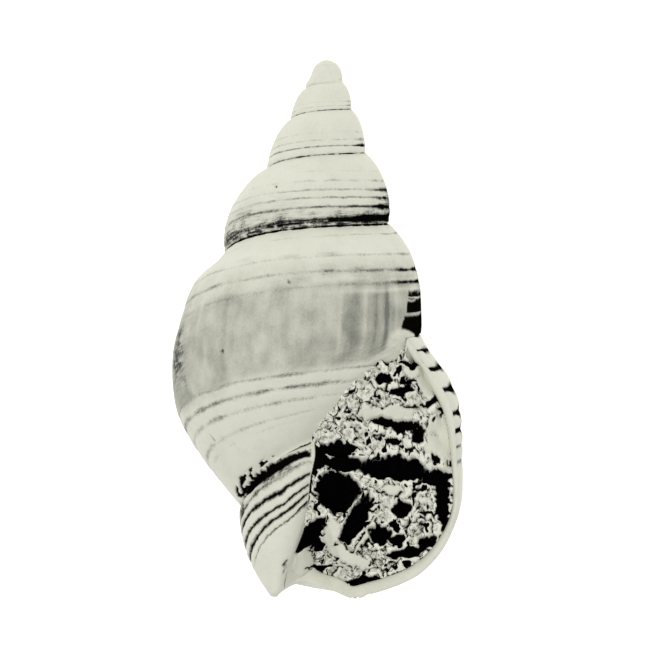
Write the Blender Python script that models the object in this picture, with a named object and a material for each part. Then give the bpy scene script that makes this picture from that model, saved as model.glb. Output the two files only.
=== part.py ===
"""Fossil whelk shell lying on its back, mouth up, with stone still packed in the mouth.

The shell is a right-handed spire. It is lofted the way it grew: one section, from the upper
seam down over the side, the base and the tail, is carried round the coil axis and grows by a
fixed ratio each turn. The lower edge of every whorl is the upper edge of the next one, so the
seams close by themselves. The mouth is lined with the same sections, moved in by the wall.

While it is lofted, the coil axis runs along -Y, from the apex at y = 0, and +Z is the side of
the mouth. Growth angles are in degrees: 0 is the mouth side, 90 is -X, 180 is the back and
270 is +X. Lengths are millimetres until a mesh is finished.
"""
import math

import bmesh
import bpy
import numpy as np
from mathutils import Matrix

MM = 0.001

# The coil
WHORL_RATIO = 1.622         # growth in one turn
LIP_ANGLE = 304.0           # growth angle at which the outer lip stands
TURNS = 5.5                 # whorls above the lip, down to the worn tip
SECTION_STEP = 10.0         # degrees between two sections
SIDE_STEPS = 8              # faces from the upper seam to the lower seam
BASE_STEPS = 16             # faces from the lower seam to the end of the tail
SEAM_ROW, LAST_ROW = 5, 14  # rows 0 to 5 are the side of a whorl, 5 to 14 its base and tail
AXIS_LEAN = 0.055           # slope of the whorls across the shell
TAIL_X, TAIL_Z = -2.7, 0.5  # how far the end of the tail stands off the coil axis
TAIL_END = (0.5, 73.2)      # radius and distance from the apex of the blunt end of the tail

# The mouth
WALL = 1.5                  # thickness of the shell wall round the mouth
MOUTH_ROW = 12.3125         # row at which the mouth ends in the canal
MOUTH_TURN = 80.0           # degrees that the open mouth reaches back into the whorl
MOUTH_SECTIONS = 9

# The stone in the mouth
GAP = 0.35                  # between the stone and the shell
STONE_RECESS = 4.0          # degrees that the stone starts behind the lip
STONE_TUCK = 18.0           # further degrees that it starts behind along the pillar
STONE_ROW = 11.5            # row at which the stone ends in the canal
STONE_ROWS, STONE_COLUMNS, STONE_SECTIONS = 22, 9, 7
STONE_RELIEF = 0.9          # height of the rough lumps on its face
STONE_CROWN = 3.0           # four times the swell in the middle of its face

# Rest
REST_PITCH = -22.0          # degrees about X that bring the shell to where it lies still
REST_ROLL = 4.0             # degrees about Y
FLAT_DEPTH = 0.5            # depth of the flats worn on the low side of the last two whorls


def growth(angle):
    """Size of the whorl at a growth angle, against its size at 90 degrees."""
    return WHORL_RATIO ** ((angle - 90.0) / 360.0)


def scaled(angle, points):
    """A measured section brought back to its size at 90 degrees."""
    return [(r / growth(angle), w / growth(angle)) for r, w in points]


# Key sections, as (radius, distance from the apex) of each row, at their size at 90 degrees.
BASE = [(16.2, 51.0), (13.4, 54.7), (10.4, 57.6), (8.5, 59.2), (6.9, 60.6), (7.9, 62.4),
        (7.1, 65.6), (5.2, 69.4), (3.0, 73.2)]
PILLAR = BASE[:4] + [(5.6, 63.0), (5.1, 72.0)]
YOUNG_SIDE = [(11.7, 29.35), (13.7, 31.5), (15.4, 34.2), (17.0, 38.3), (18.1, 43.0), (18.4, 47.6)]
SWOLLEN_SIDE = [(11.7, 29.35), (14.4, 31.5), (16.4, 34.2), (18.5, 38.3), (19.5, 43.0), (18.9, 47.6)]
NARROW_SIDE = [(11.7, 29.35), (13.8, 31.5), (15.6, 34.2), (17.1, 38.3), (17.7, 43.0), (17.8, 47.1)]
FRONT_SIDE = [(11.7, 29.35), (13.9, 31.5), (16.0, 34.2), (17.3, 38.3), (17.8, 43.0), (17.6, 47.6)]
LEFT_SIDE = [(11.6, 29.1), (13.0, 31.2), (15.6, 34.1), (16.8, 38.3), (17.6, 43.0), (17.3, 47.6)]
BACK_SIDE = [(11.5, 29.2), (12.9, 31.4), (15.3, 34.1), (16.6, 38.0), (17.1, 42.5), (16.9, 47.0)]
BACK_BASE = scaled(180, [(17.9, 56.2), (15.2, 60.0), (12.2, 63.3), (10.3, 65.3), (8.6, 67.0),
                         (8.4, 68.7), (7.2, 70.2), (4.6, 70.6), (1.0, 73.2)])
LIP = scaled(270, [(14.1, 37.0), (15.6, 39.3), (18.1, 42.3), (19.8, 46.2), (20.3, 51.5),
                   (20.6, 57.3), (20.0, 60.9), (18.3, 64.7), (15.9, 67.7), (13.2, 69.7),
                   (10.1, 71.4), (7.2, 72.7), (4.5, 71.8), (2.4, 70.8), (0.5, 73.2)])


def with_tail(angle, side, base, neck, end):
    """A key section whose last rows run onto the tail at measured places."""
    tail = scaled(angle, [neck, end, TAIL_END])
    return side + base[:6] + tail


KEY_ANGLES = [-630.0, -270.0, -90.0, 0.0, 90.0, 180.0, 270.0, 304.0]
KEY_SECTIONS = np.array([
    YOUNG_SIDE + BASE,
    with_tail(-270, SWOLLEN_SIDE, PILLAR, (2.7, 54.0), (2.2, 60.0)),
    with_tail(-90, NARROW_SIDE, PILLAR, (2.9, 56.0), (2.2, 62.0)),
    with_tail(0, FRONT_SIDE, BASE, (6.0, 59.5), (4.3, 65.0)),
    with_tail(90, LEFT_SIDE, BASE, (6.7, 66.1), (4.0, 69.8)),
    BACK_SIDE + BACK_BASE,
    LIP,
    LIP,
])

# How far each row's line of growth stands from the section angle, in degrees: where the mouth
# leaves the last whorl, and at the lip, which falls back to the notch at the canal.
ROWS = np.arange(LAST_ROW + 1.0)
INNER_LEAD = np.array([0, 0, 0, 0, 0, 0, 16, 28, 38, 44, 46, 46, 44, 26, 11], float)
LIP_LAG = np.array([0, 4, 8, 12, 16, 19, 21, 23, 26, 30, 36, 46, 68, 96, 120], float)
TAIL_SHARE = np.array([0] * 11 + [0, 0.15, 0.55, 1.0], float)


def cubic(x, knots, values, slopes):
    """Cubic through the values at the knots, for one x."""
    i = int(np.clip(np.searchsorted(knots, x, side="right") - 1, 0, len(knots) - 2))
    h = knots[i + 1] - knots[i]
    t = min(max((x - knots[i]) / h, 0.0), 1.0)
    return ((2 * t**3 - 3 * t**2 + 1) * values[i] + (t**3 - 2 * t**2 + t) * h * slopes[i]
            + (3 * t**2 - 2 * t**3) * values[i + 1] + (t**3 - t**2) * h * slopes[i + 1])


def key_slopes():
    slopes = np.zeros_like(KEY_SECTIONS)
    for k in range(2, len(KEY_ANGLES) - 1):
        span = KEY_ANGLES[k + 1] - KEY_ANGLES[k - 1]
        slopes[k] = (KEY_SECTIONS[k + 1] - KEY_SECTIONS[k - 1]) / span
    return slopes


KEY_SLOPES = key_slopes()


def by_row(values, row):
    return cubic(row, ROWS, values, np.gradient(values, axis=0))


def ease(t):
    t = min(max(t, 0.0), 1.0)
    return t * t * (3.0 - 2.0 * t)


def section_point(angle, row):
    """Radius and distance from the apex of one row at a growth angle."""
    if row >= LAST_ROW:
        return np.array(TAIL_END)
    section = cubic(angle, KEY_ANGLES, KEY_SECTIONS, KEY_SLOPES)
    return by_row(section, row) * growth(angle)


def growth_line(turn, row):
    """Growth angle of a row on the line of growth that meets the upper seam at turn."""
    inner = by_row(INNER_LEAD, row) * (1.0 - ease((turn - LIP_ANGLE + 360.0) / 180.0))
    lip = by_row(LIP_LAG, row) * ease((turn - LIP_ANGLE + 180.0) / 180.0)
    if turn < LIP_ANGLE - 360.0 - 1e-6 and row < SEAM_ROW:
        inner = 0.0
    return turn + inner - lip


def place(angle, radius, down, row):
    """A point of the shell from its growth angle, radius and distance from the apex."""
    a = math.radians(angle)
    share = by_row(TAIL_SHARE, row)
    x = TAIL_X * share - radius * math.sin(a)
    z = TAIL_Z * share + radius * math.cos(a)
    return np.array([x, -down - AXIS_LEAN * x, z])


def outside(turn, row):
    """A point on the outside of the shell."""
    angle = growth_line(turn, row)
    point = section_point(angle, row)
    if row < SEAM_ROW:
        seam_above = section_point(turn - 360.0, SEAM_ROW)
        slack = (1.0 - row / SEAM_ROW) ** 2
        point = point + slack * (seam_above - section_point(turn, 0))
    return place(angle, point[0], point[1], row)


def outer_wall(turn, row, inset):
    """A point inside the shell wall, moved square off the section towards the coil axis."""
    angle = growth_line(turn, row)
    point = section_point(angle, row)
    run = section_point(angle, row + 0.05) - section_point(angle, row - 0.05)
    point = point + inset * np.array([-run[1], run[0]]) / np.hypot(*run)
    return place(angle, point[0], point[1], row)


def inner_wall(turn, row, clear):
    """A point on the pillar side of the mouth, the base of the whorl before."""
    angle = growth_line(turn, row)
    point = section_point(angle, row) + clear * np.array([0.8, 0.5])
    return place(angle, point[0], point[1], row)


def mouth_section(depth, tuck, wall, clear, last_row, outer_shares, inner_shares):
    """The outer and the inner wall of the mouth, so many degrees behind the lip.

    The inner wall lies a further tuck degrees behind along the pillar.
    """
    top = 1.3 + clear
    first = SEAM_ROW + (LAST_ROW - SEAM_ROW) / BASE_STEPS + 0.8 * clear
    outer = [outer_wall(LIP_ANGLE - depth, top + (last_row - top) * s, wall)
             for s in outer_shares]
    inner = []
    for s in inner_shares:
        turn = LIP_ANGLE - 360.0 - depth - tuck * ease(3.0 * s - 0.5)
        inner.append(inner_wall(turn, first + (last_row - first) * s, clear))
    outer[0] = inner[0] = inner[0] if depth == 0.0 else (outer[0] + inner[0]) / 2.0
    return outer, inner


class Loft:
    """A mesh in the making: strips of faces between rows of points, welded at the end."""

    def __init__(self, name):
        self.name = name
        self.mesh = bmesh.new()

    def line(self, points):
        return [self.mesh.verts.new(p) for p in points]

    def strip(self, one, two):
        for a, b, c, d in zip(one, one[1:], two[1:], two):
            self.mesh.faces.new((a, b, c, d))

    def fan(self, ring, centre):
        hub = self.mesh.verts.new(centre)
        for a, b in zip(ring, ring[1:] + ring[:1]):
            self.mesh.faces.new((a, b, hub))

    def weld(self):
        bm = self.mesh
        bmesh.ops.remove_doubles(bm, verts=bm.verts, dist=0.002)
        bmesh.ops.dissolve_degenerate(bm, dist=0.002, edges=bm.edges)
        bmesh.ops.recalc_face_normals(bm, faces=bm.faces)

    def finish(self, material):
        bmesh.ops.triangulate(self.mesh, faces=self.mesh.faces)
        self.mesh.transform(Matrix.Scale(MM, 4))
        mesh = bpy.data.meshes.new(self.name)
        self.mesh.to_mesh(mesh)
        self.mesh.free()
        mesh.shade_smooth()
        mesh.materials.append(material)
        return bpy.data.objects.new(self.name, mesh)


def spiral_wall(loft):
    """The outside of the shell: returns its first and its last line of growth."""
    turns = LIP_ANGLE - SECTION_STEP * np.arange(round(360 * TURNS / SECTION_STEP), -1, -1)
    side_rows = np.linspace(0, SEAM_ROW, SIDE_STEPS + 1)
    base_rows = np.linspace(SEAM_ROW, LAST_ROW, BASE_STEPS + 1)
    a_turn = round(360 / SECTION_STEP)
    side = [loft.line([outside(t, row) for row in side_rows]) for t in turns]
    base = [loft.line([outside(t, row) for row in base_rows]) for t in turns[-a_turn - 1:]]
    for lines in (side, base):
        for one, two in zip(lines, lines[1:]):
            loft.strip(one, two)
    tip = [line[0] for line in side[:a_turn + 1]] + side[0][-2:0:-1]
    loft.fan(tip, (0.1, side[0][0].co.y + 0.25, 0.0))
    x, z = TAIL_X, TAIL_Z
    loft.fan([line[-1] for line in base], (x, -TAIL_END[1] - AXIS_LEAN * x - 0.15, z))
    return base[0], side[-1] + base[-1][1:]


def mouth(loft, inner_edge, lip_edge):
    """The hollow of the mouth, stitched to the lip and to the base of the last whorl."""
    side_shares = np.linspace(0, SEAM_ROW, SIDE_STEPS + 1)
    last = round((MOUTH_ROW - SEAM_ROW) * BASE_STEPS / (LAST_ROW - SEAM_ROW))
    base_shares = SEAM_ROW + np.arange(1, last + 1) * (LAST_ROW - SEAM_ROW) / BASE_STEPS
    outer_shares = np.concatenate([side_shares, base_shares]) / MOUTH_ROW
    inner_shares = np.linspace(0, 1, last)
    rings = []
    for depth in np.linspace(0, MOUTH_TURN, MOUTH_SECTIONS):
        outer, inner = mouth_section(depth, 0.0, WALL, 0.0, MOUTH_ROW,
                                     outer_shares, inner_shares)
        rings.append(loft.line(outer + inner[:0:-1]))
    count = len(outer_shares)
    rim = rings[0]
    loft.strip(lip_edge[:count], rim[:count])
    loft.mesh.faces.new((lip_edge[count - 1], rim[count - 1], rim[count]))
    loft.strip(lip_edge[count - 1:], inner_edge[last:])
    for one, two in zip(rings, rings[1:]):
        loft.strip(one + one[:1], two + two[:1])
    centre = np.mean([v.co[:] for v in rings[-1]], axis=0)
    loft.fan(rings[-1], centre)


def make_shell(material):
    loft = Loft("shell")
    inner_edge, lip_edge = spiral_wall(loft)
    mouth(loft, inner_edge, lip_edge)
    loft.weld()
    return loft.finish(material)


def lump(u, v):
    """Height of the broken face of the stone, from -1 to 1."""
    coarse = math.sin(5.1 * u + 2.3 * math.sin(3.7 * v)) * math.cos(6.3 * v + 1.9 * u)
    fine = math.sin(17.0 * u + 4.0 * v) * math.sin(13.0 * v - 6.0 * u)
    return 0.6 * coarse + 0.4 * fine


def make_stone(material):
    """The stone that fills the mouth, with a rough broken face a little behind the lip."""
    loft = Loft("matrix")
    shares = np.linspace(0, 1, STONE_ROWS)
    rings = []
    for depth in np.linspace(STONE_RECESS, MOUTH_TURN - 3.0, STONE_SECTIONS):
        tuck = STONE_TUCK * (1.0 - depth / MOUTH_TURN)
        rings.append(mouth_section(depth, tuck, WALL + GAP, 2.0 * GAP, STONE_ROW, shares, shares))
    across = np.linspace(0, 1, STONE_COLUMNS + 1)
    lines = []
    for outer, inner in rings:
        floor = [t * inner[-1] + (1 - t) * outer[-1] for t in across[1:-1]]
        lines.append(loft.line(outer + floor + inner[:0:-1]))
    for one, two in zip(lines, lines[1:]):
        loft.strip(one + one[:1], two + two[:1])
    loft.fan(lines[-1], np.mean([v.co[:] for v in lines[-1]], axis=0))
    outer, inner = rings[0]
    face = []
    for t in across:
        line = []
        for k, s in enumerate(shares):
            point = (1 - t) * inner[k] + t * outer[k]
            rise = STONE_RELIEF * lump(6.0 * s, 3.0 * t) * ease(3 * t) * ease(4 - 4 * t) * ease(6 * s)
            rise += STONE_CROWN * t * (1 - t) * ease(6 * s)
            if k in (0, STONE_ROWS - 1):
                rise = 0.0
            line.append(point + np.array([0.0, 0.0, rise]))
        face.append(loft.line(line))
    for one, two in zip(face, face[1:]):
        loft.strip(one, two)
    loft.weld()
    return loft.finish(material)


def make_material(name, colour, roughness):
    material = bpy.data.materials.new(name)
    material.use_nodes = True
    shader = material.node_tree.nodes["Principled BSDF"]
    shader.inputs["Base Color"].default_value = (*colour, 1.0)
    shader.inputs["Roughness"].default_value = roughness
    shader.inputs["Metallic"].default_value = 0.0
    return material


def lay_down(objects):
    """Turn the pieces to their rest and stand the middle of their underside on the origin."""
    pitch = Matrix.Rotation(math.radians(REST_PITCH), 4, "X")
    roll = Matrix.Rotation(math.radians(REST_ROLL), 4, "Y")
    for obj in objects:
        obj.data.transform(roll @ pitch)
    corners = np.array([v.co[:] for obj in objects for v in obj.data.vertices])
    low, high = corners.min(axis=0), corners.max(axis=0)
    shift = Matrix.Translation((-(low[0] + high[0]) / 2, -(low[1] + high[1]) / 2,
                                -low[2] - FLAT_DEPTH * MM))
    for obj in objects:
        obj.data.transform(shift)


def wear_flat(shell, cutters):
    """Cut the low side of the last whorl flat, where the shell lies."""
    bpy.ops.mesh.primitive_cube_add(size=1.0, location=(0.0, 0.0, -5 * MM))
    block = bpy.context.active_object
    block.name = "ground_cutter"
    block.data.transform(Matrix.Diagonal((60 * MM, 90 * MM, 10 * MM, 1.0)))
    for collection in list(block.users_collection):
        collection.objects.unlink(block)
    cutters.objects.link(block)
    block.hide_render = True
    block.display_type = "WIRE"
    cut = shell.modifiers.new("worn flat", "BOOLEAN")
    cut.operation = "DIFFERENCE"
    cut.solver = "EXACT"
    cut.object = block


def main():
    for obj in list(bpy.data.objects):
        bpy.data.objects.remove(obj, do_unlink=True)
    parts = bpy.data.collections.new("fossil_whelk_shell")
    cutters = bpy.data.collections.new("cutters")
    for collection in (parts, cutters):
        bpy.context.scene.collection.children.link(collection)
    shell = make_shell(make_material("fossil shell", (0.69, 0.69, 0.60), 0.75))
    stone = make_stone(make_material("shelly sandstone", (0.33, 0.34, 0.28), 0.9))
    for obj in (shell, stone):
        parts.objects.link(obj)
    lay_down([shell, stone])
    wear_flat(shell, cutters)


main()
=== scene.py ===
"""A fossil whelk shell with shelly sandstone in its mouth, lying on a pale table."""

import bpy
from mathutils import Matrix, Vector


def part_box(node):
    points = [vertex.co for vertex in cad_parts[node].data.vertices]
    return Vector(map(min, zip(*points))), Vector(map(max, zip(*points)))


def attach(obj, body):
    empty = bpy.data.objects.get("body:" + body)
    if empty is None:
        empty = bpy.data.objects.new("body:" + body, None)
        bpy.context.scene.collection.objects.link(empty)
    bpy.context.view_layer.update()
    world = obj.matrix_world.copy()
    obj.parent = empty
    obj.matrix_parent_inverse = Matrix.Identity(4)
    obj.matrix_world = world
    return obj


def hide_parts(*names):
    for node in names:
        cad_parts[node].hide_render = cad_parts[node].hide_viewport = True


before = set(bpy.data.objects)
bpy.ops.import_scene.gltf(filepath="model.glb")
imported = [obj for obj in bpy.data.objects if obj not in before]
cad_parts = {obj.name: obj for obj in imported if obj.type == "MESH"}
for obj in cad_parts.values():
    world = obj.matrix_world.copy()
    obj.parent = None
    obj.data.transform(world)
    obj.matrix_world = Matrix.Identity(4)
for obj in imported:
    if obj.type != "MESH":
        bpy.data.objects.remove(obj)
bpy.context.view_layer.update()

import math
from functools import partial

import bpy
import numpy as np
from mathutils import Matrix, Vector

MM = 0.001

# ---------------------------------------------------------------- the law of growth
# Lengths are in mm, in the shell's own frame: the coil axis runs down -Y from the apex, and
# the mouth faces +Z. An angle is measured round the axis, from the front towards the left.
# A section gives the radius and the distance from the apex of 15 rows, at the size that the
# whorl has at 90 degrees: rows 0 to 5 are the side, 5 to 10 the base, and 10 to 14 the tail.
WHORL_RATIO = 1.622
HALF_TURN, TURN = 180.0, 360.0
LIP_ANGLE = 304.0
MOUTH_START = LIP_ANGLE - TURN
TURNS = 5.5
SEAM_ROW = 5
LAST_ROW = 14
AXIS_LEAN = 0.055
TAIL_X = -2.7
TAIL_Z = 0.5
TAIL_END = (0.5, 73.2)
ROW_STEP = 0.05
REST_PITCH = -22.0
REST_ROLL = 4.0


def growth(angle):
    return WHORL_RATIO ** ((angle - 90.0) / TURN)


def scaled(angle, points):
    return [(r / growth(angle), w / growth(angle)) for r, w in points]


BASE = [(16.2, 51.0), (13.4, 54.7), (10.4, 57.6), (8.5, 59.2), (6.9, 60.6), (7.9, 62.4),
        (7.1, 65.6), (5.2, 69.4), (3.0, 73.2)]
PILLAR = BASE[:4] + [(5.6, 63.0), (5.1, 72.0)]
YOUNG_SIDE = [(11.7, 29.35), (13.7, 31.5), (15.4, 34.2), (17.0, 38.3), (18.1, 43.0), (18.4, 47.6)]
SWOLLEN_SIDE = [(11.7, 29.35), (14.4, 31.5), (16.4, 34.2), (18.5, 38.3), (19.5, 43.0), (18.9, 47.6)]
NARROW_SIDE = [(11.7, 29.35), (13.8, 31.5), (15.6, 34.2), (17.1, 38.3), (17.7, 43.0), (17.8, 47.1)]
FRONT_SIDE = [(11.7, 29.35), (13.9, 31.5), (16.0, 34.2), (17.3, 38.3), (17.8, 43.0), (17.6, 47.6)]
LEFT_SIDE = [(11.6, 29.1), (13.0, 31.2), (15.6, 34.1), (16.8, 38.3), (17.6, 43.0), (17.3, 47.6)]
BACK_SIDE = [(11.5, 29.2), (12.9, 31.4), (15.3, 34.1), (16.6, 38.0), (17.1, 42.5), (16.9, 47.0)]
BACK_BASE = scaled(180, [(17.9, 56.2), (15.2, 60.0), (12.2, 63.3), (10.3, 65.3), (8.6, 67.0),
                         (8.4, 68.7), (7.2, 70.2), (4.6, 70.6), (1.0, 73.2)])
LIP = scaled(270, [(14.1, 37.0), (15.6, 39.3), (18.1, 42.3), (19.8, 46.2), (20.3, 51.5),
                   (20.6, 57.3), (20.0, 60.9), (18.3, 64.7), (15.9, 67.7), (13.2, 69.7),
                   (10.1, 71.4), (7.2, 72.7), (4.5, 71.8), (2.4, 70.8), (0.5, 73.2)])


def with_tail(angle, side, base, neck, end):
    return side + base[:6] + scaled(angle, [neck, end, TAIL_END])


KEY_ANGLES = np.array([-630.0, -270.0, -90.0, 0.0, 90.0, 180.0, 270.0, LIP_ANGLE])
KEY_SECTIONS = np.array([
    YOUNG_SIDE + BASE,
    with_tail(-270, SWOLLEN_SIDE, PILLAR, (2.7, 54.0), (2.2, 60.0)),
    with_tail(-90, NARROW_SIDE, PILLAR, (2.9, 56.0), (2.2, 62.0)),
    with_tail(0, FRONT_SIDE, BASE, (6.0, 59.5), (4.3, 65.0)),
    with_tail(90, LEFT_SIDE, BASE, (6.7, 66.1), (4.0, 69.8)),
    BACK_SIDE + BACK_BASE,
    LIP,
    LIP,
])
# How far a line of growth runs ahead of its upper seam, in degrees, at each row: where it
# leaves the last whorl, and at the lip, which falls back to the notch at the canal.
INNER_LEAD = np.array([0, 0, 0, 0, 0, 0, 16, 28, 38, 44, 46, 46, 44, 26, 11], float)
LIP_LAG = np.array([0, 4, 8, 12, 16, 19, 21, 23, 26, 30, 36, 46, 68, 96, 120], float)
TAIL_SHARE = np.array([0] * 11 + [0, 0.15, 0.55, 1.0], float)


def key_slopes():
    slopes = np.zeros_like(KEY_SECTIONS)
    for k in range(2, len(KEY_ANGLES) - 1):
        span = KEY_ANGLES[k + 1] - KEY_ANGLES[k - 1]
        slopes[k] = (KEY_SECTIONS[k + 1] - KEY_SECTIONS[k - 1]) / span
    return slopes


KEY_SLOPES = key_slopes()
SECTION_ROW_SLOPES = [np.gradient(table, axis=1) for table in (KEY_SECTIONS, KEY_SLOPES)]


def hermite(t, span, start, end, start_slope, end_slope):
    """Cubic between two values, for arrays of t from 0 to 1."""
    return ((2 * t**3 - 3 * t**2 + 1) * start + (t**3 - 2 * t**2 + t) * span * start_slope
            + (3 * t**2 - 2 * t**3) * end + (t**3 - t**2) * span * end_slope)


def by_row(values, row):
    """A table with a value for each row, read smoothly at any row."""
    low = np.clip(np.asarray(row, float).astype(int), 0, LAST_ROW - 1)
    slopes = np.gradient(values)
    return hermite(row - low, 1.0, values[low], values[low + 1], slopes[low], slopes[low + 1])


def ease(t):
    """0 up to 0, 1 from 1 on, and smooth between them."""
    t = np.clip(t, 0.0, 1.0)
    return t * t * (3.0 - 2.0 * t)


def matched(*values):
    """Numbers or arrays as float arrays of one shape."""
    return np.broadcast_arrays(*[np.asarray(value, float) for value in values])


def section_point(angle, row):
    """Radius and distance from the apex of a row at a growth angle, for arrays of both."""
    angle, row = matched(angle, row)
    key = np.clip(np.searchsorted(KEY_ANGLES, angle, side="right") - 1, 0, len(KEY_ANGLES) - 2)
    span = KEY_ANGLES[key + 1] - KEY_ANGLES[key]
    t = np.clip((angle - KEY_ANGLES[key]) / span, 0.0, 1.0)[..., None]
    low = np.clip(row.astype(int), 0, LAST_ROW - 1)

    def at_key(table, slopes, column):
        return hermite(t, span[..., None], table[key, column], table[key + 1, column],
                       slopes[key, column], slopes[key + 1, column])

    tables = (KEY_SECTIONS, KEY_SLOPES)
    point = hermite((row - low)[..., None], 1.0,
                    at_key(*tables, low), at_key(*tables, low + 1),
                    at_key(*SECTION_ROW_SLOPES, low), at_key(*SECTION_ROW_SLOPES, low + 1))
    point = point * growth(angle)[..., None]
    point[row >= LAST_ROW - 1e-6] = TAIL_END
    return point


def inner_lead(turn, row):
    """How far a line of growth runs ahead of its upper seam, past the edge of the mouth."""
    lead = by_row(INNER_LEAD, row) * (1.0 - ease((turn - MOUTH_START) / HALF_TURN))
    return np.where((turn < MOUTH_START - 1e-6) & (row < SEAM_ROW), 0.0, lead)


def growth_line(turn, row):
    """Growth angle of a row on the line of growth that meets the upper seam at turn."""
    lag = by_row(LIP_LAG, row) * ease((turn - LIP_ANGLE + HALF_TURN) / HALF_TURN)
    return turn + inner_lead(turn, row) - lag


def place(angle, point, row):
    """Points of the shell from their growth angle, radius and distance from the apex."""
    a = np.radians(angle)
    share = by_row(TAIL_SHARE, row)
    x = TAIL_X * share - point[..., 0] * np.sin(a)
    z = TAIL_Z * share + point[..., 0] * np.cos(a)
    return np.stack([x, -point[..., 1] - AXIS_LEAN * x, z], axis=-1)


def outside(turn, row):
    """Points on the outside of the shell, with each whorl meeting the one before at its seam."""
    turn, row = matched(turn, row)
    angle = growth_line(turn, row)
    gap = section_point(turn - TURN, np.full(turn.shape, SEAM_ROW)) - section_point(turn, 0 * row)
    slack = np.where(row < SEAM_ROW, (1.0 - row / SEAM_ROW) ** 2, 0.0)
    return place(angle, section_point(angle, row) + slack[..., None] * gap, row)


def outer_wall(turn, row, inset):
    """Points inside the shell wall, moved square off the section towards the coil axis."""
    turn, row, inset = matched(turn, row, inset)
    angle = growth_line(turn, row)
    beyond = np.minimum(row + ROW_STEP, LAST_ROW - 0.01)
    run = section_point(angle, beyond) - section_point(angle, row - ROW_STEP)
    across = np.stack([-run[..., 1], run[..., 0]], axis=-1) / np.linalg.norm(run, axis=-1)[..., None]
    return place(angle, section_point(angle, row) + inset[..., None] * across, row)


def inner_wall(turn, row):
    """Points on the pillar side of the mouth, the base of the whorl before."""
    turn, row = matched(turn, row)
    angle = growth_line(turn, row)
    return place(angle, section_point(angle, row), row)


# ---------------------------------------------------------------- chance, the same each run
# How many values a curve has before it repeats and where its middle is, and the same each way
# for a plane, in cells.
KNOTS, KNOT_MIDDLE = 997, 400.0
CELLS, CELL_MIDDLE = 128, 4096.0
# How much the face of a flake slopes, and how far it stands above or below the others.
FLAKE_SLOPE, FLAKE_RISE = 2.6, 1.2


def wander(key, x, spacing):
    """A smooth random curve along x, from -1 to 1, with one new value every spacing."""
    knots = np.random.default_rng(key).uniform(-1.0, 1.0, KNOTS)
    at = np.asarray(x, float) / spacing + KNOT_MIDDLE
    low = np.floor(at).astype(int)
    return knots[low % KNOTS] + (knots[(low + 1) % KNOTS] - knots[low % KNOTS]) * ease(at - low)


def cells(x, y, size):
    """Places on a plane in cells of one size, and the cell that each is in."""
    gx, gy = np.asarray(x, float) / size + CELL_MIDDLE, np.asarray(y, float) / size + CELL_MIDDLE
    return gx, gy, np.floor(gx).astype(int), np.floor(gy).astype(int)


def patches(key, x, y, size):
    """Smooth random patches over a plane, from -1 to 1, each about size across."""
    grid = np.random.default_rng(key).uniform(-1.0, 1.0, (CELLS, CELLS))
    gx, gy, ix, iy = cells(x, y, size)
    sides = []
    for step in (0, 1):
        a, b = [grid[(ix + right) % CELLS, (iy + step) % CELLS] for right in (0, 1)]
        sides.append(a + (b - a) * ease(gx - ix))
    return sides[0] + (sides[1] - sides[0]) * ease(gy - iy)


def flakes(key, x, y, size):
    """Flat flakes over a plane, each about size across and tilted its own way.

    Gives each place's height on its flake, from about -1 to 1, how far it is from the
    border, in flake sizes, and a chance value from 0 to 1 for each flake.
    """
    chance = np.random.default_rng(key).uniform(0.0, 1.0, (CELLS, CELLS, 5))
    gx, gy, ix, iy = cells(x, y, size)
    first, second = np.full(gx.shape, 9.0), np.full(gx.shape, 9.0)
    height, value = np.zeros(gx.shape), np.zeros(gx.shape)
    for dx in (-1, 0, 1):
        for dy in (-1, 0, 1):
            own = chance[(ix + dx) % CELLS, (iy + dy) % CELLS]
            off_x, off_y = gx - ix - dx - own[..., 0], gy - iy - dy - own[..., 1]
            away = np.hypot(off_x, off_y)
            slope_x, slope_y, rise = [own[..., n] - 0.5 for n in (2, 3, 4)]
            tilted = (FLAKE_SLOPE * slope_x * off_x + FLAKE_SLOPE * slope_y * off_y
                      + FLAKE_RISE * rise)
            height = np.where(away < first, tilted, height)
            value = np.where(away < first, own[..., 4], value)
            second = np.minimum(second, np.maximum(first, away))
            first = np.minimum(first, away)
    return height, second - first, value


def blurred(values, reach):
    """Values of a grid averaged over a square of so many cells each way."""
    for axis in (0, 1):
        wide = [(reach + 1, reach) if n == axis else (0, 0) for n in (0, 1)]
        total = np.cumsum(np.pad(values, wide, mode="edge"), axis=axis)
        size = values.shape[axis]
        after = np.take(total, range(2 * reach + 1, 2 * reach + 1 + size), axis=axis)
        values = (after - np.take(total, range(size), axis=axis)) / (2 * reach + 1)
    return values


def near(x, middle, half_width):
    """A soft bump, 1 at the middle and about 0.4 at half_width from it."""
    return np.exp(-((x - middle) / half_width) ** 2)


def between(x, low, high, soft):
    """1 between low and high, and 0 outside, over a soft edge at each end."""
    return ease((x - low) / soft + 0.5) * ease((high - x) / soft + 0.5)


# ---------------------------------------------------------------- the spiral grooves
MM_PER_ROW = 4.0

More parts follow.
